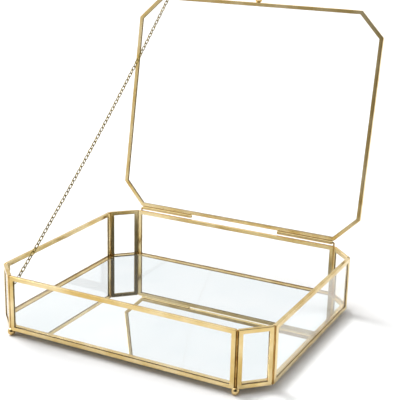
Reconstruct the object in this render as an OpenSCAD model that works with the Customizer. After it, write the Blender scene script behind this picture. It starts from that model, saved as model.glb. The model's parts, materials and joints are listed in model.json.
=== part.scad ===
// Glass casket box: eight panes in soldered brass came, a mirrored base,
// a glazed lid on a wire hinge and a fine chain that stops the lid.
//
// The box stands on its four ball feet with its front towards -Y. The lid
// is drawn open, at the angle where the chain is taut.

/* [Box] */
// Overall width of the walls, left to right
box_w = 250; // [200:1:320]
// Overall depth of the walls, front to back
box_d = 208; // [160:1:260]
// Height of the walls
wall_h = 48; // [40:1:90]
// Length that a corner cuts from each side
corner_cut = 21.5; // [17:0.5:30]

/* [Came] */
// Thickness of the brass channel, face to face
came_t = 3.3; // [3:0.1:4]
// Width of the channel's flange over the glass
came_face = 3.4; // [3.2:0.1:5]
// Thickness of the channel's sheet
came_sheet = 0.5; // [0.3:0.05:0.5]
// Thickness of the panes and of the mirror
glass_t = 2; // [1.5:0.1:2]
// Room round a pane's edge in its channel
glass_edge_gap = 0.3; // [0.1:0.05:0.6]
// Seam between two soldered frames
seam = 0.1; // [0.05:0.01:0.2]

/* [Lid] */
// Lid's side edge, in from the wall's face
lid_side_in = 2.5; // [0:0.5:4]
// Lid's front edge, in from the wall's face
lid_front_in = 2; // [0:0.5:2.5]
// Length that a corner cuts from each side of the lid
lid_cut = 22; // [20:0.5:30]
// Gap between the rim and the closed lid
lid_gap = 0.45; // [0.4:0.05:0.8]
// Angle that the lid stands open at rest
lid_open = 100; // [95:1:105]

/* [Hinge] */
// Outer diameter of the two hinge tubes
tube_d = 3.6; // [3.4:0.1:4]
// Bore of the hinge tubes
tube_bore = 1.7; // [1.65:0.05:1.8]
// Length of each hinge tube
tube_len = 54; // [30:1:65]
// Outer end of a tube, in from the end of the back frame
tube_inset = 2.8; // [2.6:0.1:3.4]
// Diameter of the hinge wire
pin_d = 1.6; // [1.5:0.05:1.6]
// Length of wire inside the tube
pin_reach = 18; // [8:1:25]
// Length of wire that runs down the back frame
pin_drop = 9; // [6:0.5:20]
// Bend radius of the wire's middle line
pin_bend = 1.3; // [1.1:0.1:1.5]

/* [Feet and knob] */
// Diameter of the ball feet and of the knob
ball_d = 6.5; // [6.2:0.1:7]
// Diameter of the flat that a foot stands on
foot_flat = 2; // [1:0.1:3]
// Height of a foot's top cut above its centre
foot_sink = 1.5; // [0.5:0.1:1.8]
// Depth that the knob is cut into to seat on the lid's edge
knob_seat = 0.35; // [0.2:0.05:0.6]
// Height of the knob's centre above the lid's underside
knob_up = 3.05; // [3:0.05:3.2]

/* [Chain] */
// Wire diameter of the links and of the eyelets
link_wire = 0.8; // [0.6:0.05:0.9]
// Opening across a link
link_gap = 1.4; // [1.3:0.05:1.6]
// Play between two neighbouring links
link_play = 0.04; // [0.03:0.01:0.1]
// Slope of the sagging chain at its two ends, from its chord
sag_angle = 3.5; // [1:0.5:6]
// Distance of an eyelet's wire from the metal that it is soldered to
eyelet_reach = 2.4; // [2.3:0.1:3]
// Lid's eyelet, from the lid's left end
lid_eyelet_in = 30.6; // [28:0.1:60]
// Lid's eyelet, from the lid's front edge
lid_eyelet_back = 3; // [2.4:0.1:3]
// Depth of the box's eyelet below the rim
box_eyelet_down = 7; // [5:0.5:12]

/* [Hidden] */
$fn = 48;

// Links in each run of the chain, from the lid to the box
runs = [20, 14, 4, 4, 4, 12, 13, 10];

brass = [0.83, 0.67, 0.40];
solder = [0.80, 0.70, 0.50];
clear = [0.85, 0.93, 0.92, 0.35];
silver = [0.80, 0.83, 0.86];

cut = 1;                    // how far a cutter runs past what it cuts
mitre = tan(22.5);          // half of the turn at each of the eight corners
base_gap = 0.1;             // base came to wall frames
pin_gap = 0.3;              // tube's end to the wire's bend

slot_t = came_t - 2 * came_sheet;
glass_in = came_sheet + glass_edge_gap;
base_in = came_t + base_gap;

lid_w = box_w - 2 * lid_side_in;
lid_d = box_d - lid_front_in;

ball_r = ball_d / 2;
foot_drop = foot_sink + sqrt(pow(ball_r, 2) - pow(foot_flat / 2, 2));
knob_out = ball_r - knob_seat;

// Hinge axis, from the middle of the box's floor
hinge_y = box_d / 2 + tube_d / 2;
hinge_z = wall_h + lid_gap + came_t / 2;
tube_out = panel_len(180) / 2 - tube_inset;

// A lid point, given from the hinge with the lid shut, once it is open
function opened(dy, dz) = [hinge_y + dy * cos(lid_open) + dz * sin(lid_open),
                           hinge_z - dy * sin(lid_open) + dz * cos(lid_open)];

// Middle of the whole object from front to back
knob_yz = opened(-tube_d / 2 - lid_d - knob_out, knob_up - came_t / 2);
lid_tip_yz = opened(-tube_d / 2 - lid_d, came_t / 2);
back_y = max(knob_yz[0] + ball_r, lid_tip_yz[0]);
front_y = -box_d / 2 + min(0, came_t / 2 - ball_r);
middle_y = (back_y + front_y) / 2;

// Chain, from the lid's eyelet to the box's eyelet, in the box's frame
lid_eyelet_x = lid_eyelet_in - lid_w / 2;
chain_from = concat([lid_eyelet_x], opened(lid_eyelet_back - tube_d / 2 - lid_d,
                                           -came_t / 2 - eyelet_reach));
chain_to = [(came_face - panel_len(0)) / 2,
            came_t + eyelet_reach - box_d / 2,
            wall_h - box_eyelet_down];

// Sum of the first n runs of links, the sag's tilt of run k, and its vector
function links_before(n) = n == 0 ? 0 : runs[n - 1] + links_before(n - 1);
links = links_before(len(runs));
function tilt(k) = sag_angle * (1 - (2 * links_before(k) + runs[k]) / links);
function sag_to(n) = n == 0 ? [0, 0]
    : sag_to(n - 1) + runs[n - 1] * [cos(tilt(n - 1)), sin(tilt(n - 1))];
sag = sag_to(len(runs));
function chain_turn_to(p) = atan2(p[2] - chain_from[2], p[1] - chain_from[1])
    - atan2(sag[1], sag[0]);

// The last link's far end lies past the eyelet's wire that it holds
hook = link_wire + link_play;
last_turn = chain_turn_to(chain_to) + tilt(len(runs) - 1);
chain_end = chain_to + hook * [0, cos(last_turn), sin(last_turn)];
chain_turn = chain_turn_to(chain_end);
chord = chain_end - chain_from;

// Every link also leans sideways by the same angle
pitch_yz = norm([chord[1], chord[2]]) / norm(sag);
drift = chord[0] / links;
pitch = norm([pitch_yz, drift]);
lean = atan2(drift, pitch_yz);
function turned(p, a) = [p[0] * cos(a) - p[1] * sin(a),
                         p[0] * sin(a) + p[1] * cos(a)];
function run_start(k) = chain_from
    + concat([drift * links_before(k)], pitch_yz * turned(sag_to(k), chain_turn));

link_r = (link_gap + link_wire) / 2;
link_straight = pitch + link_play - link_gap;
link_first = pitch - (pitch + link_play + link_wire) / 2;

function side_len(turn) = turn % 90 != 0 ? corner_cut * sqrt(2)
    : turn % 180 == 0 ? box_w - 2 * corner_cut : box_d - 2 * corner_cut;
function panel_len(turn) = side_len(turn) - 2 * came_t * mitre - seam;

// Corners of an octagon with cut corners, moved in all round by inset
function octagon(w, d, corner, inset) =
    let (x = w / 2 - inset, y = d / 2 - inset, c = corner - inset * (2 - sqrt(2)))
    [[x - c, -y], [x, c - y], [x, y - c], [x - c, y],
     [c - x, y], [-x, y - c], [-x, c - y], [c - x, -y]];

// Puts a wall's piece, drawn along X with its outside at Y = 0, on its side
module on_side(turn) {
    in = turn % 90 == 0 ? 0 : corner_cut / 2;
    translate([sign(sin(turn)) * (box_w / 2 - in),
               -sign(cos(turn)) * (box_d / 2 - in), 0])
        rotate([0, 0, turn])
            children();
}

// Puts a piece of the shut lid, drawn round the lid's middle, on the open lid
module on_lid() {
    translate([0, hinge_y, hinge_z])
        rotate([-lid_open, 0, 0])
            translate([0, -tube_d / 2 - lid_d / 2, -came_t / 2])
                children();
}

// Puts the box's frame, with its floor at Z = 0, in the object's frame
module in_place() {
    translate([0, -middle_y, foot_drop])
        children();
}

// Rectangular channel round one wall's pane
module wall_frame(turn) {
    w = panel_len(turn);
    color(brass)
        in_place()
            on_side(turn)
                difference() {
                    translate([-w / 2, 0, 0])
                        cube([w, came_t, wall_h]);
                    translate([came_face - w / 2, -cut, came_face])
                        cube([w - 2 * came_face, came_t + 2 * cut,
                              wall_h - 2 * came_face]);
                    translate([came_sheet - w / 2, came_sheet, came_sheet])
                        cube([w - 2 * came_sheet, slot_t, wall_h - 2 * came_sheet]);
                }
}

// Pane in the middle of its channel
module wall_pane(turn) {
    w = panel_len(turn) - 2 * glass_in;
    color(clear)
        in_place()
            on_side(turn)
                translate([-w / 2, (came_t - glass_t) / 2, glass_in])
                    cube([w, glass_t, wall_h - 2 * glass_in]);
}

// Flat eight-sided channel, open towards its middle
module flat_frame(w, d, corner, inset) {
    difference() {
        linear_extrude(came_t)
            polygon(octagon(w, d, corner, inset));
        translate([0, 0, -cut])
            linear_extrude(came_t + 2 * cut)
                polygon(octagon(w, d, corner, inset + came_face));
        translate([0, 0, came_sheet])
            linear_extrude(slot_t)
                polygon(octagon(w, d, corner, inset + came_sheet));
    }
}

module flat_pane(w, d, corner, inset) {
    translate([0, 0, (came_t - glass_t) / 2])
        linear_extrude(glass_t)
            polygon(octagon(w, d, corner, inset + glass_in));
}

module base_frame() {
    color(brass)
        in_place()
            flat_frame(box_w, box_d, corner_cut, base_in);
}

module base_mirror() {
    color(silver)
        in_place()
            flat_pane(box_w, box_d, corner_cut, base_in);
}

module lid_frame() {
    color(brass)
        in_place()
            on_lid()
                flat_frame(lid_w, lid_d, lid_cut, 0);
}

module lid_glass() {
    color(clear)
        in_place()
            on_lid()
                flat_pane(lid_w, lid_d, lid_cut, 0);
}

// Tube with a fillet of solder along the lid's edge; side is -1 or 1
module hinge_tube(side) {
    fillet_h = tube_d * 0.55;
    color(brass)
        in_place()
            on_lid()
                translate([side * (tube_out - tube_len / 2),
                           (lid_d + tube_d) / 2, came_t / 2])
                    difference() {
                        union() {
                            rotate([0, 90, 0])
                                cylinder(d = tube_d, h = tube_len, center = true);
                            translate([-tube_len / 2, -tube_d / 2, -fillet_h / 2])
                                cube([tube_len, tube_d / 4, fillet_h]);
                        }
                        rotate([0, 90, 0])
                            cylinder(d = tube_bore, h = tube_len + 2 * cut,
                                     center = true);
                    }
}

// Wire that lies in the tube, bends down and is soldered to the back frame
module hinge_pin(side) {
    straight = pin_reach + pin_gap;
    leg_x = tube_out + pin_gap + pin_bend;
    leg_top = hinge_z - pin_bend;
    leg_foot = leg_top - pin_drop;
    solder_w = pin_d * 0.75;
    color(brass)
        in_place()
            mirror([side < 0 ? 1 : 0, 0, 0]) {
                translate([tube_out - pin_reach, hinge_y, hinge_z])
                    rotate([0, 90, 0])
                        cylinder(d = pin_d, h = straight);
                translate([tube_out + pin_gap, hinge_y, leg_top])
                    rotate([90, 0, 0])
                        rotate_extrude(angle = 90)
                            translate([pin_bend, 0])
                                circle(d = pin_d);
                translate([leg_x, hinge_y, leg_foot])
                    cylinder(d = pin_d, h = pin_drop);
                translate([leg_x - solder_w / 2, box_d / 2, leg_foot])
                    cube([solder_w, tube_d / 2, wall_h - came_sheet - leg_foot]);
            }
}

// Ball under the corner between two frames, cut flat above and below
module foot(side_x, side_y) {
    at = octagon(box_w, box_d, corner_cut, came_t / 2)[3];
    color(solder)
        in_place()
            translate([side_x * at[0], side_y * at[1], -foot_sink])
                difference() {
                    sphere(d = ball_d);
                    translate([-ball_d / 2, -ball_d / 2, foot_sink])
                        cube([ball_d, ball_d, ball_d]);
                    translate([-ball_d / 2, -ball_d / 2,
                               foot_sink - foot_drop - ball_d])
                        cube([ball_d, ball_d, ball_d]);
                }
}

// Ball on the front edge of the lid
module lid_knob() {
    color(solder)
        in_place()
            on_lid()
                difference() {
                    translate([0, -lid_d / 2 - knob_out, knob_up])
                        sphere(d = ball_d);
                    translate([-ball_d / 2, -lid_d / 2, knob_up - ball_d / 2])
                        cube([ball_d, ball_d, ball_d]);
                }
}

// Ring of wire standing on the plane Z = 0, in the plane of X and Z
module eyelet() {
    intersection() {
        translate([0, 0, eyelet_reach - link_r])
            rotate([90, 0, 0])
                rotate_extrude()
                    translate([link_r, 0])
                        circle(d = link_wire);
        translate([-ball_d, -ball_d, 0])
            cube(2 * ball_d);
    }
}

module box_eyelet() {
    color(brass)
        in_place()
            translate([chain_to[0], came_t - box_d / 2, chain_to[2]])
                rotate([-90, 0, 0])
                    eyelet();
}

module lid_eyelet() {
    color(brass)
        in_place()
            on_lid()
                translate([lid_eyelet_x, lid_eyelet_back - lid_d / 2, 0])
                    rotate([180, 0, 0])
                        eyelet();
}

// One link along Y, lying in the plane of X and Y
module link() {
    for (end = [0, 180])
        rotate([0, 0, end]) {
            translate([0, link_straight / 2, 0])
                rotate_extrude(angle = 180)
                    translate([link_r, 0])
                        circle(d = link_wire);
            translate([link_r, -link_straight / 2, 0])
                rotate([-90, 0, 0])
                    cylinder(d = link_wire, h = link_straight);
        }
}

// Run k of the chain: links turned by a quarter, one after the other
module chain_run(k) {
    color(brass)
        in_place()
            translate(run_start(k))
                rotate([chain_turn + tilt(k), 0, 0])
                    rotate([0, 0, -lean])
                        for (i = [0 : runs[k] - 1])
                            translate([0, link_first + i * pitch, 0])
                                rotate([0, (links_before(k) + i) % 2 == 0 ? 90 : 0, 0])
                                    link();
}

wall_frame(0);  // front_frame
wall_frame(45);  // front_right_frame
wall_frame(90);  // right_frame
wall_frame(135);  // back_right_frame
wall_frame(180);  // back_frame
wall_frame(225);  // back_left_frame
wall_frame(270);  // left_frame
wall_frame(315);  // front_left_frame
wall_pane(0);  // front_pane
wall_pane(45);  // front_right_pane
wall_pane(90);  // right_pane
wall_pane(135);  // back_right_pane
wall_pane(180);  // back_pane
wall_pane(225);  // back_left_pane
wall_pane(270);  // left_pane
wall_pane(315);  // front_left_pane
base_frame();
base_mirror();
lid_frame();
lid_glass();
hinge_tube(-1);  // hinge_tube_left
hinge_tube(1);  // hinge_tube_right
hinge_pin(-1);  // hinge_pin_left
hinge_pin(1);  // hinge_pin_right
foot(-1, -1);  // foot_front_left
foot(1, -1);  // foot_front_right
foot(-1, 1);  // foot_back_left
foot(1, 1);  // foot_back_right
lid_knob();
box_eyelet();
lid_eyelet();
chain_run(0);  // chain_1
chain_run(1);  // chain_2
chain_run(2);  // chain_3
chain_run(3);  // chain_4
chain_run(4);  // chain_5
chain_run(5);  // chain_6
chain_run(6);  // chain_7
chain_run(7);  // chain_8
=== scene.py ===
"""Dresses the glass casket box: brass came, panes, mirror, solder, chain and studio."""

import json
import logging
import math
from collections.abc import Callable
from dataclasses import dataclass, field
from enum import Enum

import bmesh
import bpy
import numpy as np
from mathutils import Matrix, Vector

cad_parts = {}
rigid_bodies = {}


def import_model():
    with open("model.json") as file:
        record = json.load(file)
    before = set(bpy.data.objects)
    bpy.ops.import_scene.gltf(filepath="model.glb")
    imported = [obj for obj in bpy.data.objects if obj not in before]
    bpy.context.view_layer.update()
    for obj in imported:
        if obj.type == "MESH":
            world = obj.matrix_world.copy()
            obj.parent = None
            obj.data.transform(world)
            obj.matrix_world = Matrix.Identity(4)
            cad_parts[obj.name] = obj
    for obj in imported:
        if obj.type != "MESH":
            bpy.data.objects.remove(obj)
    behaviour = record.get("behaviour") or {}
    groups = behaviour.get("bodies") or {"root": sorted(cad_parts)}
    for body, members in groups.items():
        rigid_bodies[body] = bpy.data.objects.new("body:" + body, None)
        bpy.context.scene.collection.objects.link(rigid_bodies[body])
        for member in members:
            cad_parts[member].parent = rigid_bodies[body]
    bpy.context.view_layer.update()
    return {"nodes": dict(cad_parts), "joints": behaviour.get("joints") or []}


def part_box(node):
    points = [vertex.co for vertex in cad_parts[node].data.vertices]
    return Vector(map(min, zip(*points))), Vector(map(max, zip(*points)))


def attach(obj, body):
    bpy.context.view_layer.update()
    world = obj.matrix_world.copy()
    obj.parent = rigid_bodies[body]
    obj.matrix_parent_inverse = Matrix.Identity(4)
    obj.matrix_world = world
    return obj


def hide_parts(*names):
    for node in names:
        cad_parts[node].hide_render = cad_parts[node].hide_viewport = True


log = logging.getLogger("casket")

Triple = tuple[float, float, float]
Element = bmesh.types.BMVert | bmesh.types.BMEdge | bmesh.types.BMFace

MM = 0.001
MERGE = 0.001 * MM  # points nearer than this are one
SQUARE = 0.99  # share of a normal along an axis, past which the face is square to the axis
ALONG = 0.9  # and past which it looks along the axis
ACROSS = 0.1  # and under which it looks across the axis

NOISE_REACH = {"From Min": 0.3, "From Max": 0.7}  # values that a noise keeps between, but for its peaks
NOISE_ROUGH = 0.55  # how strong each octave of a noise is against the one before
FINER = 4  # how many times finer a polish varies than a tone
MIX_NUMBERS, MIX_COLOURS, MIXED_COLOUR = (2, 3), (6, 7), 2  # sockets of a Mix node


class Side(Enum):
    """The eight walls, each with the turn of its outside from the front, in degrees."""

    FRONT = 0
    FRONT_RIGHT = 45
    RIGHT = 90
    BACK_RIGHT = 135
    BACK = 180
    BACK_LEFT = 225
    LEFT = 270
    FRONT_LEFT = 315

    @property
    def node(self) -> str:
        """Name of the wall, as its frame's and pane's nodes begin."""
        return self.name.lower()

    @property
    def slanted(self) -> bool:
        """Whether the wall is one of the four that cut the corners."""
        return self.value % 90 != 0


class Hand(Enum):
    """The object's left and right, each with its way along X."""

    LEFT = -1
    RIGHT = 1

    @property
    def word(self) -> str:
        """The hand's name in the names of nodes and pieces."""
        return self.name.lower()


class Pick(Enum):
    """What a selection takes, with the name of its list in a mesh."""

    VERT = "verts"
    EDGE = "edges"
    FACE = "faces"


def outward(degrees: float) -> Vector:
    """Finds the level way that is turned by some degrees from the front."""
    return Vector((math.sin(math.radians(degrees)), -math.cos(math.radians(degrees)), 0))


# --------------------------------------------------------------- materials


def hex_linear(colour: str) -> tuple[float, float, float, float]:
    """Turns an sRGB hex colour to linear light, by the sRGB standard's own numbers.

    Args:
        colour: Six hex digits, with or without a leading #.

    Returns:
        Red, green and blue in linear light, and an alpha of 1.
    """
    parts = [int(colour.lstrip("#")[i : i + 2], 16) / 255 for i in (0, 2, 4)]
    lin = [p / 12.92 if p <= 0.04045 else ((p + 0.055) / 1.055) ** 2.4 for p in parts]
    return (lin[0], lin[1], lin[2], 1.0)


WHITE = hex_linear("#FFFFFF")


def feed(tree: bpy.types.NodeTree, value: object, target: bpy.types.NodeSocket) -> None:
    """Gives an input its link or its value.

    Args:
        tree: Node tree that the input is in.
        value: Output socket, node whose first output is meant, or plain value.
        target: The input.
    """
    if isinstance(value, bpy.types.Node):
        value = value.outputs[0]
    if isinstance(value, bpy.types.NodeSocket):
        tree.links.new(value, target)
    else:
        target.default_value = value


def add_node(
    tree: bpy.types.NodeTree,
    kind: str,
    inputs: dict | None = None,
    stops: dict[float, str] | None = None,
    **settings: object,
) -> bpy.types.Node:
    """Adds one node with its settings, values and links.

    Args:
        tree: Node tree to add to.
        kind: Blender's type name of the node.
        inputs: Value, node or output socket for each named or numbered input.
        stops: Hex colour at each place from 0 to 1, for a node that is a ramp.
        **settings: Attributes of the node.

    Returns:
        The new node.
    """
    made = tree.nodes.new(kind)
    for name, value in settings.items():
        setattr(made, name, value)
    for name, value in (inputs or {}).items():
        feed(tree, value, made.inputs[name])
    if stops:
        line = made.color_ramp.elements
        while len(line) < len(stops):
            line.new(0.5)
        for spot, place in zip(line, sorted(stops)):
            spot.position = place
            spot.color = hex_linear(stops[place])
    return made


class Finish:
    """A material's tree with its shader, place coordinates and output."""

    def __init__(self, name: str, **values: object) -> None:
        """Starts the material.

        Args:
            name: What the real material is.
            **values: Constant values of the shader's own sockets, spaces written as _.
        """
        self.material = bpy.data.materials.new(name)
        self.material.use_nodes = True
        self.tree = self.material.node_tree
        self.tree.nodes.clear()
        self.shader = add_node(self.tree, "ShaderNodeBsdfPrincipled")
        add_node(self.tree, "ShaderNodeOutputMaterial", {"Surface": self.shader})
        self.place = add_node(self.tree, "ShaderNodeTexCoord").outputs["Object"]
        self.wire(**values)

    def wire(self, **values: object) -> None:
        """Links or sets the shader's inputs, spaces written as _."""
        for name, value in values.items():
            feed(self.tree, value, self.shader.inputs[name.replace("_", " ")])

    def blots(self, size: float, detail: float = 3.0) -> dict:
        """Gives a noise's inputs.

        Args:
            size: Triple of its blots in metres.
            detail: Octaves of finer noise.

        Returns:
            The value or socket for each input.
        """
        return {"Vector": self.place, "Scale": 1 / size, "Detail": detail, "Roughness": NOISE_ROUGH}


@dataclass(frozen=True)
class Brass:
    """Brass sheet, tube, wire or solder, plated and hand polished.

    A satin polished metal mirrors the room softly. Its tone wanders a little
    where the plating is thinner, and fine polishing lines break up its gloss.
    """

    name: str
    tones: dict[float, str]
    gloss: tuple[float, float]
    blot: float = 22 * MM
    grain: float = 0.5 * MM  # real polishing lines are finer than the render shows
    dent: float = 0.0008 * MM

    def make(self) -> bpy.types.Material:
        """Builds the metal.

        Returns:
            The material.
        """
        finish = Finish(self.name, Metallic=1.0)
        tree = finish.tree
        plating = add_node(tree, "ShaderNodeTexNoise", finish.blots(self.blot))
        polish = add_node(tree, "ShaderNodeTexNoise", finish.blots(self.blot / FINER))
        lines = add_node(tree, "ShaderNodeTexNoise", finish.blots(self.grain, 2.0))
        gloss = {"Value": polish, **NOISE_REACH, "To Min": self.gloss[0], "To Max": self.gloss[1]}
        relief = {"Height": lines, "Strength": 1.0, "Distance": self.dent}
        finish.wire(
            Base_Color=add_node(tree, "ShaderNodeValToRGB", {0: plating}, stops=self.tones),
            Roughness=add_node(tree, "ShaderNodeMapRange", gloss),
            Normal=add_node(tree, "ShaderNodeBump", relief),
        )
        return finish.material


@dataclass(frozen=True)
class Pane:
    """Clear low-iron float glass: almost no tint, with bright clean reflections."""

    name: str = "float_glass"
    tint: str = "#FDFEFE"
    ior: float = 1.5
    waves: float = 90 * MM  # the sheet is flat but for a slow wave
    wave_depth: float = 0.004 * MM

    def make(self) -> bpy.types.Material:
        """Builds the glass.

        Returns:
            The material.
        """
        tint = hex_linear(self.tint)
        finish = Finish(self.name, Base_Color=tint, IOR=self.ior, Roughness=0.0, Transmission_Weight=1.0)
        waves = add_node(finish.tree, "ShaderNodeTexNoise", finish.blots(self.waves, 0.0))
        relief = {"Height": waves, "Strength": 1.0, "Distance": self.wave_depth}
        finish.wire(Normal=add_node(finish.tree, "ShaderNodeBump", relief))
        return finish.material


@dataclass(frozen=True)
class Mirror:
    """Silvered float glass: it mirrors crisply, a shade cooler and dimmer than the room.

    Its underside has the matt grey paint that keeps the silver from tarnishing.
    """

    name: str = "silvered_mirror"
    tones: dict[float, str] = field(default_factory=lambda: {0.35: "#F7FAFB", 0.65: "#F1F6F8"})
    silver: float = 0.96  # share that mirrors; the rest is a pale bloom
    blot: float = 70 * MM
    gloss: tuple[float, float] = (0.0, 0.012)
    paint: str = "#7E868A"
    paint_gloss: float = 0.55
    coat: float = 0.3 * MM  # how far up from the underside counts as paint

    def make(self) -> bpy.types.Material:
        """Builds the mirror.

        Returns:
            The material.
        """
        finish = Finish(self.name)
        tree = finish.tree
        height = add_node(tree, "ShaderNodeSeparateXYZ", {0: finish.place}).outputs["Z"]
        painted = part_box("base_mirror")[0].z + self.coat
        above = add_node(tree, "ShaderNodeMath", {0: height, 1: painted}, operation="GREATER_THAN")
        bloom = add_node(tree, "ShaderNodeTexNoise", finish.blots(self.blot))
        tone = add_node(tree, "ShaderNodeValToRGB", {0: bloom}, stops=self.tones)
        colours = {0: above, MIX_COLOURS[0]: hex_linear(self.paint), MIX_COLOURS[1]: tone}
        polish = add_node(tree, "ShaderNodeTexNoise", finish.blots(self.blot / FINER))
        reach = {"Value": polish, **NOISE_REACH, "To Min": self.gloss[0], "To Max": self.gloss[1]}
        clear = add_node(tree, "ShaderNodeMapRange", reach)
        numbers = {0: above, MIX_NUMBERS[0]: self.paint_gloss, MIX_NUMBERS[1]: clear}
        finish.wire(
            Base_Color=add_node(tree, "ShaderNodeMix", colours, data_type="RGBA").outputs[MIXED_COLOUR],
            Metallic=add_node(tree, "ShaderNodeMath", {0: above, 1: self.silver}, operation="MULTIPLY"),
            Roughness=add_node(tree, "ShaderNodeMix", numbers, data_type="FLOAT"),
        )
        return finish.material


@dataclass(frozen=True)
class Finishes:
    """Every material of the box, made once."""

    came: bpy.types.Material
    inside: bpy.types.Material
    tube: bpy.types.Material
    wire: bpy.types.Material
    chain: bpy.types.Material
    ball: bpy.types.Material
    solder: bpy.types.Material
    glass: bpy.types.Material
    mirror: bpy.types.Material

    @classmethod
    def make(cls) -> "Finishes":
        """Makes the materials.

        Returns:
            All of them.
        """
        # The came is plated and polished to a pale, bright gold. Its inside is painted a dull dark brown, as
        # painted shade in the channel.
        came = Brass("plated_brass_came", {0.32: "#CBAC68", 0.5: "#D9C088", 0.68: "#E4CFA0"}, (0.12, 0.18))
        inside = Brass("bare_brass_inside", {0.3: "#6B4A1E", 0.7: "#7A5522"}, (0.5, 0.65))
        # Drawn tube and wire are smooth. The chain's fine wire is painted much darker all over, as painted
        # shade between its links.
        tube = Brass("drawn_brass_tube", {0.3: "#D2B87C", 0.7: "#E2CD9A"}, (0.14, 0.2), 12 * MM)
        wire = Brass("drawn_brass_wire", {0.3: "#B6985A", 0.7: "#C8AC72"}, (0.2, 0.3), 6 * MM)
        chain = Brass("brass_chain_wire", {0.3: "#66561A", 0.7: "#86722C"}, (0.25, 0.35), 6 * MM)
        # A turned ball is the glossiest. Solder takes the plating unevenly, so it is browner and duller, and
        # its darker brown is also painted shade of the grooves it fills.
        ball = Brass("turned_brass_ball", {0.3: "#CBAC70", 0.7: "#DAC08A"}, (0.1, 0.15), 5 * MM)
        frozen = {0.3: "#86602E", 0.55: "#A88346", 0.75: "#C09C5E"}
        solder = Brass("plated_solder", frozen, (0.3, 0.42), 5 * MM)
        kinds = (came, inside, tube, wire, chain, ball, solder, Pane(), Mirror())
        return cls(*(kind.make() for kind in kinds))


# ------------------------------------------------------------------- bench


class Bench:
    """Modelling by hand: adds primitives, shapes them in edit mode and sets them down."""

    @staticmethod
    def clear() -> None:
        """Deselects every object."""
        bpy.ops.object.select_all(action="DESELECT")

    @staticmethod
    def hold(piece: bpy.types.Object) -> None:
        """Selects one piece alone and makes it the active one.

        Args:
            piece: The piece, in object mode.
        """
        Bench.clear()
        piece.select_set(True)
        bpy.context.view_layer.objects.active = piece

    @staticmethod
    def take(name: str) -> bpy.types.Object:
        """Names the new primitive and brings its size into its mesh.

        Args:
            name: The piece's name.

        Returns:
            The piece.
        """
        piece = bpy.context.object
        piece.name = name
        piece.data.name = name
        bpy.ops.object.transform_apply(location=True, rotation=True, scale=True)
        return piece

    @staticmethod
    def pick(piece: bpy.types.Object, test: Callable[[Element], bool], kind: Pick = Pick.FACE) -> None:
        """Selects, in edit mode, only what passes a test.

        Args:
            piece: The piece in edit mode.
            test: Test of a point, an edge or a face.
            kind: Which of the three the test is of.
        """
        mesh = bmesh.from_edit_mesh(piece.data)
        bpy.ops.mesh.select_all(action="DESELECT")
        bpy.ops.mesh.select_mode(type=kind.name)
        for element in getattr(mesh, kind.value):
            if test(element):
                element.select_set(True)
        bmesh.update_edit_mesh(piece.data)

    @staticmethod
    def upright(edge: bmesh.types.BMEdge, least: float) -> bool:
        """Tells whether an edge rises by more than a length."""
        return abs(edge.verts[0].co.z - edge.verts[1].co.z) > least

    @staticmethod
    def modify(piece: bpy.types.Object, kind: str, **settings: object) -> None:
        """Adds a modifier and applies it.

        Args:
            piece: The piece, in object mode.
            kind: Blender's type name of the modifier.
            **settings: Attributes of the modifier.
        """
        Bench.hold(piece)
        made = piece.modifiers.new(kind.lower(), kind)
        for name, value in settings.items():
            setattr(made, name, value)
        bpy.ops.object.modifier_apply(modifier=made.name)

    @staticmethod
    def ease(piece: bpy.types.Object, width: float, sharp: float) -> None:
        """Takes the burr off a piece's sharp edges.

        Args:
            piece: The piece, in object mode.
            width: Width of the bevel.
            sharp: Angle in degrees past which an edge is sharp.
        """
        angle = math.radians(sharp)
        Bench.modify(piece, "BEVEL", width=width, segments=2, limit_method="ANGLE", angle_limit=angle)

    @staticmethod
    def lay(piece: bpy.types.Object, place: Matrix) -> None:
        """Puts a piece in its place through its mesh, so that its object stays at the origin.

        Args:
            piece: The piece, in object mode.
            place: Where it goes, from where it lies.
        """
        Bench.hold(piece)
        piece.matrix_world = place
        bpy.ops.object.transform_apply(location=True, rotation=True, scale=True)

    @staticmethod
    def copy(piece: bpy.types.Object, name: str, place: Matrix) -> bpy.types.Object:
        """Copies a piece with its own mesh and lays the copy in its place.

        Args:
            piece: The piece to copy.
            name: The copy's name.
            place: Where the copy goes, from where the piece lies.

        Returns:
            The copy.
        """
        twin = piece.copy()
        twin.data = piece.data.copy()
        twin.name = name
        twin.data.name = name
        bpy.context.scene.collection.objects.link(twin)
        Bench.lay(twin, place)
        return twin

    @staticmethod
    def done(
        piece: bpy.types.Object,
        body: str,
        slot: str,
        material: bpy.types.Material | None = None,
        smooth: float = 35,
    ) -> None:
        """Smooths, dresses and hands over a finished piece.

        Args:
            piece: The piece.
            body: Body that it rides on.
            slot: The record's material slot; not used.
            material: Its finish, where it has none yet.
            smooth: Edges flatter than this many degrees are shaded smooth.
        """
        Bench.hold(piece)
        bpy.ops.object.shade_smooth_by_angle(angle=math.radians(smooth))
        Bench.modify(piece, "WEIGHTED_NORMAL", keep_sharp=True)
        if material:
            piece.data.materials.append(material)
        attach(piece, body)
        log.info("%s: %d faces, on %s", piece.name, len(piece.data.polygons), body)


def dress(node: bpy.types.Object, material: bpy.types.Material) -> None:
    """Gives a node of the frame a finish.

    Args:
        node: The node's object.
        material: Its finish.
    """
    node.data.materials.clear()
    node.data.materials.append(material)
    log.info("%s: dressed in %s", node.name, material.name)


def glaze(node: bpy.types.Object, material: bpy.types.Material) -> None:
    """Gives a pane its finish and lets the lamps' light through it.

    Args:
        node: The pane's object.
        material: Its finish.
    """
    dress(node, material)
    node.visible_shadow = False  # clear glass throws next to no shadow


# -------------------------------------------------------------------- came


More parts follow.
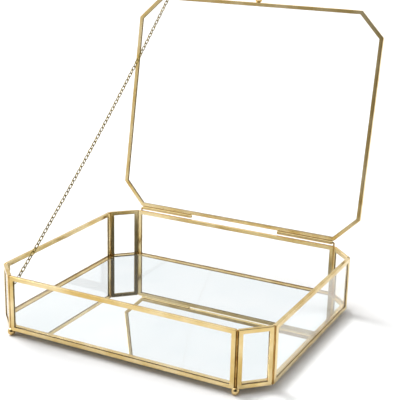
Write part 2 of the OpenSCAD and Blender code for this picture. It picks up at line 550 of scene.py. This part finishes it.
@dataclass(frozen=True)
class Came:
    """Brass channel folded from sheet, and the flat frames that are made of it."""

    finishes: Finishes
    depth: float = 3.3 * MM
    face: float = 3.4 * MM
    sheet: float = 0.5 * MM
    fold: float = 0.55 * MM  # outer radius of the folded sheet
    fold_steps: int = 3
    burr: float = 0.08 * MM  # taken off the sheet's cut edge
    burr_angle: float = 60.0  # degrees past which an edge is cut, not folded

    def frame(self, name: str, across: float, along: float, corner: float = 0.0) -> bpy.types.Object:
        """Makes a frame that lies flat round the origin, its channel open to the middle.

        Args:
            name: The piece's name.
            across: Its width along X.
            along: Its length along Y.
            corner: Length that each corner cuts from each side.

        Returns:
            The frame, with the channel's inside as its second material, painted dark as shade.
        """
        Bench.clear()
        bpy.ops.mesh.primitive_cube_add(size=1, scale=(across, along, self.depth))
        piece = Bench.take(name)
        # the channel's inside gets the dark brown painted shade
        for finish in (self.finishes.came, self.finishes.inside):
            piece.data.materials.append(finish)
        bpy.ops.object.mode_set(mode="EDIT")
        if corner:
            Bench.pick(piece, lambda edge: Bench.upright(edge, self.sheet), Pick.EDGE)
            bpy.ops.mesh.bevel(offset=corner, segments=1, affect="EDGES")
        bpy.ops.mesh.select_all(action="SELECT")
        bpy.ops.mesh.bevel(offset=self.fold, segments=self.fold_steps, affect="EDGES")
        Bench.pick(piece, self.is_flat)
        bpy.ops.mesh.inset(thickness=self.face - self.fold, use_even_offset=True)
        bpy.ops.mesh.bridge_edge_loops()
        self.open_slot(piece)
        bpy.ops.object.mode_set(mode="OBJECT")
        Bench.ease(piece, self.burr, self.burr_angle)
        return piece

    def is_flat(self, face: bmesh.types.BMFace) -> bool:
        """Tells whether a face is the top or the bottom of the block."""
        off = abs(abs(face.calc_center_median().z) - self.depth / 2)
        return abs(face.normal.z) > SQUARE and off < self.burr

    def looks_in(self, face: bmesh.types.BMFace) -> bool:
        """Tells whether a face is an inner wall of the ring, as tall as the ring.

        Args:
            face: A face of the ring.

        Returns:
            Whether it is.
        """
        heights = [vert.co.z for vert in face.verts]
        tall = max(heights) - min(heights) > self.depth * ALONG
        return abs(face.normal.z) < ACROSS and tall and face.normal.dot(face.calc_center_median()) < 0

    def open_slot(self, piece: bpy.types.Object) -> None:
        """Sinks the glazing slot into the window's walls and gives its inside the painted shade.

        Args:
            piece: The ring in edit mode.
        """
        Bench.pick(piece, self.looks_in)
        bpy.ops.mesh.inset(thickness=self.sheet, use_even_offset=True)
        bpy.ops.mesh.extrude_region_shrink_fatten(
            TRANSFORM_OT_shrink_fatten={"value": self.sheet - self.face, "use_even_offset": True}
        )
        bpy.ops.mesh.select_more()
        mesh = bmesh.from_edit_mesh(piece.data)
        for face in mesh.faces:
            if face.select or self.looks_in(face):
                face.material_index = 1
        bmesh.update_edit_mesh(piece.data)


@dataclass(frozen=True)
class Solder:
    """Lumps and runs of solder, rounded as they froze."""

    finishes: Finishes
    body: str = "box"
    lump_rough: float = 0.03  # unevenness of a lump, as a share of its least extent
    run_rough: float = 0.04  # unevenness of a run, as a share of its least extent
    run_round: float = 0.4  # rounding of a run's section, as a share of its width
    shade: float = 60.0  # degrees that are still shaded smooth

    def lump(self, name: str, size: Triple, place: Matrix, seed: int) -> None:
        """Sets one lump.

        Args:
            name: The piece's name.
            size: Its extents along X, Y and Z before it is placed.
            place: Where it goes.
            seed: Seed of its unevenness.
        """
        Bench.clear()
        bpy.ops.mesh.primitive_ico_sphere_add(subdivisions=3, radius=0.5, scale=size)
        piece = Bench.take(name)
        bpy.ops.object.mode_set(mode="EDIT")
        bpy.ops.mesh.select_all(action="SELECT")
        rough = min(size) * self.lump_rough
        bpy.ops.transform.vertex_random(offset=rough, uniform=1.0, normal=1.0, seed=seed)
        bpy.ops.mesh.vertices_smooth(factor=0.5, repeat=1)
        bpy.ops.object.mode_set(mode="OBJECT")
        Bench.lay(piece, place)
        Bench.done(piece, self.body, "ball", self.finishes.solder, smooth=self.shade)

    def run(self, name: str, size: Triple, place: Matrix, steps: int = 24) -> None:
        """Sets a long run, its cross-section rounded and its surface uneven.

        Args:
            name: The piece's name.
            size: Its extents along X, Y and Z before it is placed; Z is its length.
            place: Where it goes.
            steps: Lengths that its unevenness is drawn in, and the seed of it.
        """
        Bench.clear()
        bpy.ops.mesh.primitive_cube_add(size=1, scale=size)
        piece = Bench.take(name)
        bpy.ops.object.mode_set(mode="EDIT")
        Bench.pick(piece, lambda edge: Bench.upright(edge, size[2] / 2), Pick.EDGE)
        bpy.ops.mesh.bevel(offset=min(size[:2]) * self.run_round, segments=3, affect="EDGES")
        for step in range(1, steps):
            bpy.ops.mesh.select_all(action="SELECT")
            height = size[2] * (step / steps - 0.5)
            bpy.ops.mesh.bisect(plane_co=(0, 0, height), plane_no=(0, 0, 1))
        bpy.ops.mesh.select_all(action="SELECT")
        rough = min(size) * self.run_rough
        bpy.ops.transform.vertex_random(offset=rough, uniform=1.0, normal=1.0, seed=steps)
        bpy.ops.object.mode_set(mode="OBJECT")
        Bench.modify(piece, "SUBSURF", levels=1, render_levels=1)
        Bench.lay(piece, place)
        Bench.done(piece, self.body, "ball", self.finishes.solder, smooth=self.shade)


@dataclass
class Walls:
    """Eight upright frames of came with their panes, soldered at the corners."""

    came: Came
    finishes: Finishes
    nodes: dict[str, bpy.types.Object]
    run_width: float = 1.45 * MM  # solder that shows in the groove of a corner
    run_out: float = 1.9 * MM  # its middle, out from where the two frames touch
    run_short: float = 1.5 * MM  # how much shorter it is than the posts
    lump: Triple = (2.34 * MM, 1.82 * MM, 1.716 * MM)  # at each end of the groove
    lump_out: float = 2.25 * MM  # its middle, out from the same place
    top_wider: float = 1.2  # how many times wider the lump at the rim is
    top_down: float = 0.936 * MM  # from the posts' tops to the upper lump's middle
    foot_up: float = 0.78 * MM  # from the posts' feet to the lower lump's middle
    inner: Triple = (2.86 * MM, 1.82 * MM, 2.08 * MM)  # lump inside the box, above the base
    inner_in: float = 0.35 * MM  # its middle, in from where the two frames touch

    def build(self) -> None:
        """Builds every frame, dresses every pane and solders every corner."""
        for side in Side:
            self.frame(side)
            glaze(self.nodes[f"{side.node}_pane"], self.finishes.glass)
        for side in Side:
            self.corner(side)

    def span(self, side: Side) -> tuple[Vector, Vector, float]:
        """Measures a wall's frame.

        Args:
            side: The wall.

        Returns:
            Its lowest and highest corners, and its length along the wall.
        """
        low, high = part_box(f"{side.node}_frame")
        size = high - low
        if side.slanted:
            return low, high, size.x * math.sqrt(2) - self.came.depth
        return low, high, max(size.x, size.y)

    def frame(self, side: Side) -> None:
        """Builds one wall's frame in its place.

        Args:
            side: The wall.
        """
        low, high, length = self.span(side)
        piece = self.came.frame(f"{side.node}_came", length, high.z - low.z)
        turn = Matrix.Rotation(math.radians(side.value), 4, "Z")
        upright = Matrix.Rotation(math.pi / 2, 4, "X")
        Bench.lay(piece, Matrix.Translation((low + high) / 2) @ turn @ upright)
        Bench.done(piece, "box", "came")
        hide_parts(f"{side.node}_frame")

    def corner(self, side: Side) -> None:
        """Solders the groove between a wall and the next one to its right.

        Args:
            side: The wall.
        """
        low, high, length = self.span(side)
        along = outward(side.value + 90)
        edge = (low + high) / 2 + along * length / 2 - outward(side.value) * self.came.depth / 2
        faces = side.value + 22.5  # half way between this wall's turn and the next one's
        out = outward(faces)
        turn = Matrix.Rotation(math.radians(faces), 4, "Z")
        solder = Solder(self.finishes)

        def seat(off: float, height: float) -> Matrix:
            """Finds the place at a distance out from the edge and at a height."""
            spot = edge + out * off
            return Matrix.Translation((spot.x, spot.y, height)) @ turn

        bead = (self.run_width, self.run_width, high.z - low.z - self.run_short)
        solder.run(f"{side.node}_solder_run", bead, seat(self.run_out, edge.z))
        wide = (self.lump[0] * self.top_wider, *self.lump[1:])
        seed = side.value + 3  # no two corners froze alike
        solder.lump(f"{side.node}_solder_top", wide, seat(self.lump_out, high.z - self.top_down), seed)
        solder.lump(f"{side.node}_solder_bottom", self.lump, seat(self.lump_out, low.z + self.foot_up), seed)
        inside = seat(-self.inner_in, low.z + self.came.face)
        solder.lump(f"{side.node}_solder_inside", self.inner, inside, seed + 1)


@dataclass
class Base:
    """Octagonal came inside the foot of the walls, with the mirror."""

    came: Came
    finishes: Finishes
    nodes: dict[str, bpy.types.Object]
    cut: float = 19.51 * MM  # length that a corner cuts from each side

    def build(self) -> None:
        """Builds the frame and dresses the mirror."""
        low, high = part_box("base_frame")
        size = high - low
        piece = self.came.frame("base_came", size.x, size.y, self.cut)
        Bench.lay(piece, Matrix.Translation((low + high) / 2))
        Bench.done(piece, "box", "came")
        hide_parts("base_frame")
        dress(self.nodes["base_mirror"], self.finishes.mirror)


@dataclass
class Lid:
    """Glazed lid, built shut and turned open, with its knob and eyelet."""

    came: Came
    finishes: Finishes
    nodes: dict[str, bpy.types.Object]
    hinge: Vector
    width: float = 245.0 * MM
    length: float = 206.0 * MM
    cut: float = 22.0 * MM
    open_by: float = 100.0  # degrees
    tube: float = 3.6 * MM  # outer width of the hinge's tubes
    knob: float = 6.5 * MM
    knob_sunk: float = 0.35 * MM  # how far the flat on the ball is filed into it
    knob_up: float = 3.05 * MM  # the ball's middle above the lid's underside
    seat: Triple = (4.2 * MM, 1.3 * MM, 2.3 * MM)  # solder round the ball's flat
    seat_down: float = 0.5 * MM  # its middle, below the ball's

    @property
    def place(self) -> Matrix:
        """Takes a piece drawn round the shut lid's middle to the open lid.

        Returns:
            The place.
        """
        opened = Matrix.Rotation(math.radians(-self.open_by), 4, "X")
        back = Matrix.Translation((0, -(self.tube + self.length) / 2, 0))
        return Matrix.Translation(self.hinge) @ opened @ back

    def build(self) -> None:
        """Builds the frame and the knob, and dresses the rest."""
        piece = self.came.frame("lid_came", self.width, self.length, self.cut)
        Bench.lay(piece, self.place)
        Bench.done(piece, "lid", "came")
        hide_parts("lid_frame")
        glaze(self.nodes["lid_glass"], self.finishes.glass)
        dress(self.nodes["lid_eyelet"], self.finishes.wire)
        self.build_knob()

    def build_knob(self) -> None:
        """Builds the ball knob and the solder round its seat."""
        out = self.length / 2 + self.knob / 2 - self.knob_sunk
        up = self.knob_up - self.came.depth / 2
        place = self.place @ Matrix.Translation((0, -out, up))
        seat = self.place @ Matrix.Translation((0, -self.length / 2, up - self.seat_down))
        way = self.place.to_3x3() @ Vector((0, 1, 0))
        piece = Trim.cut_ball("lid_knob_ball", self.knob / 2, place, seat.translation, way)
        Bench.done(piece, "lid", "ball", self.finishes.ball)
        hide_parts("lid_knob")
        Solder(self.finishes, "lid").lump("lid_knob_solder", self.seat, seat, seed=11)


@dataclass
class Hinge:
    """Tubes on the lid's back edge and the bent wires that turn in them."""

    finishes: Finishes
    lid: Lid
    bore: float = 1.7 * MM
    length: float = 54.0 * MM
    rounding: float = 0.15 * MM
    sharp: float = 50.0  # degrees past which an edge is rounded
    wire: float = 1.6 * MM
    straight: float = 18.3 * MM  # wire from its inner end to where it bends
    bend: float = 1.3 * MM
    drop: float = 9.0 * MM
    seam: tuple[float, float] = (2.232 * MM, 1.152 * MM)  # section of the solder along a tube
    seam_out: float = 0.504 * MM  # its middle, out from the lid's edge
    seam_short: float = 1.5 * MM  # how much shorter it is than the tube
    joint: tuple[float, float] = (1.36 * MM, 1.8 * MM)  # section of the solder along a wire's drop
    joint_short: float = 1.0 * MM

    def build(self) -> None:
        """Builds both tubes and both wires."""
        for hand in Hand:
            self.tube(hand)
            self.pin(hand)

    def in_bore(self, face: bmesh.types.BMFace) -> bool:
        """Tells whether a face lies in the bore, nearer to it than to the tube's skin.

        Args:
            face: A face of the tube.

        Returns:
            Whether it does.
        """
        middle = face.calc_center_median()
        out = Vector((0, middle.y, middle.z)).length
        return abs(face.normal.x) < ACROSS and out < (self.bore + self.lid.tube) / 4

    def tube(self, hand: Hand) -> None:
        """Builds one tube with the solder along it.

        Args:
            hand: Which tube.
        """
        low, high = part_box(f"hinge_tube_{hand.word}")
        Bench.clear()
        bpy.ops.mesh.primitive_cylinder_add(
            vertices=40, radius=self.lid.tube / 2, depth=self.length, rotation=(0, math.pi / 2, 0)
        )
        piece = Bench.take(f"hinge_{hand.word}_tube")
        for finish in (self.finishes.tube, self.finishes.inside):
            piece.data.materials.append(finish)
        bpy.ops.object.mode_set(mode="EDIT")
        Bench.pick(piece, lambda face: abs(face.normal.x) > ALONG)
        bpy.ops.mesh.inset(thickness=(self.lid.tube - self.bore) / 2)
        bpy.ops.mesh.bridge_edge_loops()
        # the bore gets the same dark brown painted shade as a channel's inside
        mesh = bmesh.from_edit_mesh(piece.data)
        for face in mesh.faces:
            if self.in_bore(face):
                face.material_index = 1
        bmesh.update_edit_mesh(piece.data)
        bpy.ops.object.mode_set(mode="OBJECT")
        Bench.ease(piece, self.rounding, self.sharp)
        middle = Vector(((low.x + high.x) / 2, self.lid.hinge.y, self.lid.hinge.z))
        Bench.lay(piece, Matrix.Translation(middle))
        Bench.done(piece, "lid", "came")
        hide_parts(f"hinge_tube_{hand.word}")
        along = Matrix.Rotation(math.pi / 2, 4, "Y")
        edge = Matrix.Translation((middle.x, self.lid.length / 2 + self.seam_out, 0))
        seat = self.lid.place @ edge @ along
        size = (*self.seam, self.length - self.seam_short)
        Solder(self.finishes, "lid").run(f"hinge_{hand.word}_tube_solder", size, seat)

    def pin(self, hand: Hand) -> None:
        """Bends one wire and solders it to the back frame.

        Args:
            hand: Which wire.
        """
        low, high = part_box(f"hinge_pin_{hand.word}")
        sign = hand.value
        inner = high.x if hand is Hand.LEFT else low.x
        start = Vector((inner, self.lid.hinge.y, self.lid.hinge.z))
        turned = (0, sign * math.pi / 2, 0)
        Bench.clear()
        bpy.ops.mesh.primitive_circle_add(
            vertices=24, radius=self.wire / 2, fill_type="NGON", rotation=turned, location=start
        )
        piece = Bench.take(f"hinge_{hand.word}_wire")
        bpy.ops.object.mode_set(mode="EDIT")
        bpy.ops.mesh.select_all(action="SELECT")
        bpy.ops.mesh.extrude_region_move(TRANSFORM_OT_translate={"value": (sign * self.straight, 0, 0)})
        centre = start + Vector((sign * self.straight, 0, -self.bend))
        bpy.ops.mesh.spin(steps=8, angle=-math.pi / 2, center=centre, axis=(0, sign, 0))
        bpy.ops.mesh.extrude_region_move(TRANSFORM_OT_translate={"value": (0, 0, -self.drop)})
        bpy.ops.mesh.select_all(action="SELECT")
        bpy.ops.mesh.remove_doubles(threshold=MERGE)
        bpy.ops.mesh.normals_make_consistent(inside=False)
        bpy.ops.object.mode_set(mode="OBJECT")
        Bench.ease(piece, self.rounding, self.sharp)
        Bench.done(piece, "box", "wire", self.finishes.wire)
        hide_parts(f"hinge_pin_{hand.word}")
        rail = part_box("back_frame")[1]
        tall = rail.z - low.z - self.joint_short
        across = inner + sign * (self.straight + self.bend)
        spot = Matrix.Translation((across, (rail.y + self.lid.hinge.y) / 2, low.z + tall / 2))
        Solder(self.finishes).run(f"hinge_{hand.word}_wire_solder", (*self.joint, tall), spot, steps=8)


@dataclass
class Trim:
    """Ball feet, the box's eyelet and the chain."""

    finishes: Finishes
    nodes: dict[str, bpy.types.Object]
    ball: float = 6.5 * MM
    sink: float = 1.5 * MM  # how far the ball's middle lies below the walls
    collar: Triple = (3.6 * MM, 5.6 * MM, 1.5 * MM)  # solder between a ball and the walls
    collar_down: float = 0.25 * MM  # its middle, below the walls
    collar_in: float = 1.6 * MM  # and in from the ball's middle

    @staticmethod
    def cut_ball(name: str, radius: float, place: Matrix, cut: Vector, way: Vector) -> bpy.types.Object:
        """Turns a ball and files a flat on it.

        Args:
            name: The piece's name.
            radius: Its radius.
            place: Where it goes.
            cut: A point on the flat.
            way: The way that the flat looks.

        Returns:
            The ball.
        """
        Bench.clear()
        bpy.ops.mesh.primitive_uv_sphere_add(segments=40, ring_count=24, radius=radius)
        piece = Bench.take(name)
        Bench.lay(piece, place)
        bpy.ops.object.mode_set(mode="EDIT")
        bpy.ops.mesh.select_all(action="SELECT")
        bpy.ops.mesh.bisect(plane_co=cut, plane_no=way, use_fill=True, clear_outer=True, threshold=MERGE / 10)
        bpy.ops.object.mode_set(mode="OBJECT")
        return piece

    def build(self) -> None:
        """Builds the feet and the chain, and dresses the box's eyelet."""
        for end in ("front", "back"):
            for hand in Hand:
                self.foot(f"foot_{end}_{hand.word}")
        # the box's eyelet takes the chain's darker tone, painted shade as on the links
        dress(self.nodes["box_eyelet"], self.finishes.chain)
        Chain(self.finishes, self.nodes).build()

    def foot(self, node: str) -> None:
        """Builds one ball foot with its flat and its solder.

        Args:
            node: The foot's node.
        """
        low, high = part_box(node)
        middle = (low + high) / 2
        place = Matrix.Translation((middle.x, middle.y, high.z - self.sink))
        piece = self.cut_ball(f"{node}_ball", self.ball / 2, place, low, Vector((0, 0, -1)))
        Bench.done(piece, "box", "ball", self.finishes.ball)
        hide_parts(node)
        towards = Vector((-math.copysign(0.5, middle.x), -math.copysign(1, middle.y), 0)).normalized()
        spot = Vector((middle.x, middle.y, high.z - self.collar_down)) + towards * self.collar_in
        turn = Matrix.Rotation(math.atan2(towards.y, towards.x), 4, "Z")
        Solder(self.finishes).lump(f"{node}_solder", self.collar, Matrix.Translation(spot) @ turn, seed=21)


@dataclass(frozen=True)
class Chain:
    """Fine cable chain in rigid runs, each link bent from wire and closed."""

    finishes: Finishes
    nodes: dict[str, bpy.types.Object]
    wire: float = 0.8 * MM
    width: float = 3.4 * MM
    length: float = 5.5 * MM
    bends: int = 16  # straight bits that the two round ends are drawn in
    sides: int = 6  # flats of the wire's section

    def link(self) -> bpy.types.Object:
        """Bends one link round the origin, its length along Y.

        Returns:
            The link.
        """
        Bench.clear()
        bpy.ops.mesh.primitive_torus_add(
            major_radius=(self.width - self.wire) / 2,
            minor_radius=self.wire / 2,
            major_segments=self.bends,
            minor_segments=self.sides,
            rotation=(0, 0, math.pi / self.bends),
        )
        piece = Bench.take("link")
        bpy.ops.object.mode_set(mode="EDIT")
        for way in (-1, 1):
            Bench.pick(piece, lambda vert: vert.co.y * way > 0, Pick.VERT)
            bpy.ops.transform.translate(value=(0, way * (self.length - self.width) / 2, 0))
        bpy.ops.object.mode_set(mode="OBJECT")
        return piece

    @staticmethod
    def islands(mesh: bmesh.types.BMesh) -> list[np.ndarray]:
        """Parts a mesh into the points of its separate pieces.

        Args:
            mesh: The mesh, its doubles merged.

        Returns:
            The points of each piece, a row each.
        """
        found, seen = [], set()
        for start in mesh.verts:
            if start in seen:
                continue
            island = [start]
            seen.add(start)
            for vert in island:  # it grows as it is read
                for near in (edge.other_vert(vert) for edge in vert.link_edges):
                    if near not in seen:
                        seen.add(near)
                        island.append(near)
            found.append(np.array([vert.co for vert in island]))
        return found

    def seats(self, node: bpy.types.Object) -> list[Matrix]:
        """Finds where each link lies: its middle, its length, its width and its flat side.

        Args:
            node: The run's node.

        Returns:
            The place of every link of the run.
        """
        mesh = bmesh.new()
        mesh.from_mesh(node.data)
        bmesh.ops.remove_doubles(mesh, verts=mesh.verts, dist=MERGE)
        places = []
        for points in self.islands(mesh):
            middle = (points.max(axis=0) + points.min(axis=0)) / 2
            spread = np.linalg.eigh(np.cov((points - points.mean(axis=0)).T))[1]
            flat, across, along = (Vector(spread[:, i]) for i in range(3))
            if across.cross(along).dot(flat) < 0:
                flat = -flat
            places.append(Matrix.Translation(middle) @ Matrix((across, along, flat)).transposed().to_4x4())
        mesh.free()
        return places

    def build(self) -> None:
        """Threads each run's links, joins them and puts them in place of the run."""
        link = self.link()
        for name in sorted(node for node in self.nodes if node.startswith("chain_")):
            links = [Bench.copy(link, f"{name}_link", seat) for seat in self.seats(self.nodes[name])]
            Bench.hold(links[0])
            for other in links:
                other.select_set(True)
            bpy.ops.object.join()
            piece = bpy.context.object
            piece.name = f"{name}_links"
            Bench.done(piece, name, "wire", self.finishes.chain, smooth=60)
            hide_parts(name)
        bpy.data.objects.remove(link)


# ------------------------------------------------------------------ studio


@dataclass(frozen=True)
class View:
    """Camera that looks down on the front right corner of the rim."""

    azimuth: float = 26.99  # degrees, as the next two
    elevation: float = 17.29
    roll: float = 1.4
    distance: float = 841.59 * MM
    aim_right: float = 16.9 * MM
    aim_up: float = 51.85 * MM
    lens: float = 88.2  # millimetres, as lenses are marked
    sensor: float = 36.0

    def place(self, aim: Vector) -> Vector:
        """Sets up the camera.

        Args:
            aim: Middle of the rim.

        Returns:
            The way that the camera looks.
        """
        az, el, roll = (math.radians(a) for a in (self.azimuth, self.elevation, self.roll))
        ahead = Vector((-math.sin(az) * math.cos(el), math.cos(az) * math.cos(el), -math.sin(el)))
        level = Vector((math.cos(az), math.sin(az), 0))
        upright = level.cross(ahead)
        right = level * math.cos(roll) + upright * math.sin(roll)
        up = -level * math.sin(roll) + upright * math.cos(roll)
        eye = aim + right * self.aim_right + up * self.aim_up - ahead * self.distance
        data = bpy.data.cameras.new("camera")
        data.lens = self.lens
        data.sensor_width = self.sensor
        camera = bpy.data.objects.new("camera", data)
        camera.matrix_world = Matrix.Translation(eye) @ Matrix((right, up, -ahead)).transposed().to_4x4()
        bpy.context.scene.collection.objects.link(camera)
        bpy.context.scene.camera = camera
        return ahead


@dataclass(frozen=True)
class Key:
    """Large studio lamp far off on the left, behind its diffuser."""

    name: str = "key_lamp"
    way: Triple = (-1.0, 0.25, 0.85)  # from the box to the lamp
    spread: float = 28.0  # degrees that the diffuser fills
    strength: float = 2.0

    def hang(self) -> None:
        """Hangs the lamp."""
        data = bpy.data.lights.new(self.name, "SUN")
        data.angle = math.radians(self.spread)
        data.energy = self.strength
        lamp = bpy.data.objects.new(self.name, data)
        lamp.matrix_world = Vector(self.way).to_track_quat("Z", "Y").to_matrix().to_4x4()
        bpy.context.scene.collection.objects.link(lamp)


def seen_by(tree: bpy.types.NodeTree, *kinds: str) -> bpy.types.NodeSocket:
    """Joins the kinds of ray that see a surface directly, by mirror or through glass.

    Args:
        tree: Node tree to add to.
        *kinds: Names of the kinds of ray.

    Returns:
        A value of 1 for those rays and 0 for the others.
    """
    rays = add_node(tree, "ShaderNodeLightPath")
    value = rays.outputs[kinds[0]]
    for kind in kinds[1:]:
        pair = {0: value, 1: rays.outputs[kind]}
        value = add_node(tree, "ShaderNodeMath", pair, operation="MAXIMUM").outputs[0]
    return value


@dataclass(frozen=True)
class Table:
    """White laminate table: matt and nearly even, so that it shows little but the shadows."""

    size: float = 12.0  # metres, as its blots
    tones: dict[float, str] = field(default_factory=lambda: {0.0: "#FAFAFA", 1.0: "#FBFBFB"})
    blot: float = 0.6
    glow: float = 0.03  # what the white sweep adds to the table as it is seen

    def build(self) -> None:
        """Builds the table."""
        Bench.clear()
        bpy.ops.mesh.primitive_plane_add(size=self.size, location=(0, 0, 0))
        table = Bench.take("studio_table")
        finish = Finish("white_laminate", Roughness=0.8, Specular_IOR_Level=0.05, Emission_Color=WHITE)
        tree = finish.tree
        blots = add_node(tree, "ShaderNodeTexNoise", finish.blots(self.blot))
        seen = seen_by(tree, "Is Camera Ray", "Is Glossy Ray", "Is Transmission Ray")
        finish.wire(
            Base_Color=add_node(tree, "ShaderNodeValToRGB", {0: blots}, stops=self.tones),
            Emission_Strength=add_node(tree, "ShaderNodeMath", {0: seen, 1: self.glow}, operation="MULTIPLY"),
        )
        table.data.materials.append(finish.material)


@dataclass(frozen=True)
class Room:
    """White room, dark behind the camera, with a diffuser in its ceiling."""

    backdrop: float = 1.02  # strength of the backdrop as it is seen, also through glass
    walls: float = 1.05  # strength of the white walls
    upper: float = 0.45  # strength of the room between the walls and the ceiling's diffuser
    walls_end: tuple[float, float] = (0.48, 0.72)
    diffuser: float = 1.7  # strength that the ceiling's diffuser adds
    diffuser_way: Triple = (-0.42, 0.0, 0.9)
    diffuser_edge: tuple[float, float] = (0.78, 0.96)
    shade: float = 0.05  # strength in the dark corner behind the camera
    shade_edge: tuple[float, float] = (0.38, 0.93)

    def build(self, ahead: Vector) -> None:
        """Paints the room: white all round, dark only in the corner behind the camera.

        Args:
            ahead: The way that the camera looks.
        """
        world = bpy.data.worlds.new("studio_room")
        bpy.context.scene.world = world
        world.use_nodes = True
        tree = world.node_tree
        tree.nodes.clear()
        way = add_node(tree, "ShaderNodeTexCoord").outputs["Generated"]
        fades = []
        for towards, edge, ends in (
            (Vector((0, 0, 1)), self.walls_end, (self.walls, self.upper)),
            (-ahead, self.shade_edge, (1.0, self.shade)),
            (Vector(self.diffuser_way), self.diffuser_edge, (0.0, self.diffuser)),
        ):
            pair = {0: way, 1: towards.normalized()}
            near = add_node(tree, "ShaderNodeVectorMath", pair, operation="DOT_PRODUCT").outputs["Value"]
            reach = {"From Min": edge[0], "From Max": edge[1], "To Min": ends[0], "To Max": ends[1]}
            smooth = {"Value": near, **reach}
            fades.append(add_node(tree, "ShaderNodeMapRange", smooth, interpolation_type="SMOOTHSTEP"))
        lit = add_node(tree, "ShaderNodeMath", {0: fades[0], 1: fades[1]}, operation="MULTIPLY")
        strength = add_node(tree, "ShaderNodeMath", {0: lit, 1: fades[2]}, operation="ADD")
        light = add_node(tree, "ShaderNodeBackground", {"Color": WHITE, "Strength": strength})
        # The backdrop is there to be seen, so through glass it lights no matt surface.
        bounces = add_node(tree, "ShaderNodeLightPath").outputs["Diffuse Depth"]
        direct = add_node(tree, "ShaderNodeMath", {0: bounces, 1: 0.5}, operation="LESS_THAN")
        backdrop = add_node(tree, "ShaderNodeMath", {0: direct, 1: self.backdrop}, operation="MULTIPLY")
        back = add_node(tree, "ShaderNodeBackground", {"Color": WHITE, "Strength": backdrop})
        seen = seen_by(tree, "Is Camera Ray", "Is Transmission Ray")
        mix = add_node(tree, "ShaderNodeMixShader", {0: seen, 1: light, 2: back})
        add_node(tree, "ShaderNodeOutputWorld", {"Surface": mix})


def main() -> None:
    """Loads the frame, dresses it and sets up the studio."""
    logging.basicConfig(level=logging.INFO, format="%(name)s: %(message)s")
    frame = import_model()
    nodes = frame["nodes"]
    finishes = Finishes.make()
    came = Came(finishes)
    rim_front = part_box("front_frame")
    rim_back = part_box("back_frame")
    ahead = View().place(Vector((0, (rim_front[0].y + rim_back[1].y) / 2, rim_front[1].z)))
    Table().build()
    Room().build(ahead)
    Key().hang()
    hinge = next(joint for joint in frame["joints"] if joint["name"] == "lid_hinge")
    lid = Lid(came, finishes, nodes, Vector(hinge["pos_m"]))
    Walls(came, finishes, nodes).build()
    Base(came, finishes, nodes).build()
    lid.build()
    Hinge(finishes, lid).build()
    Trim(finishes, nodes).build()
    bpy.context.scene.view_settings.view_transform = "Standard"


if __name__ == "__main__":
    main()
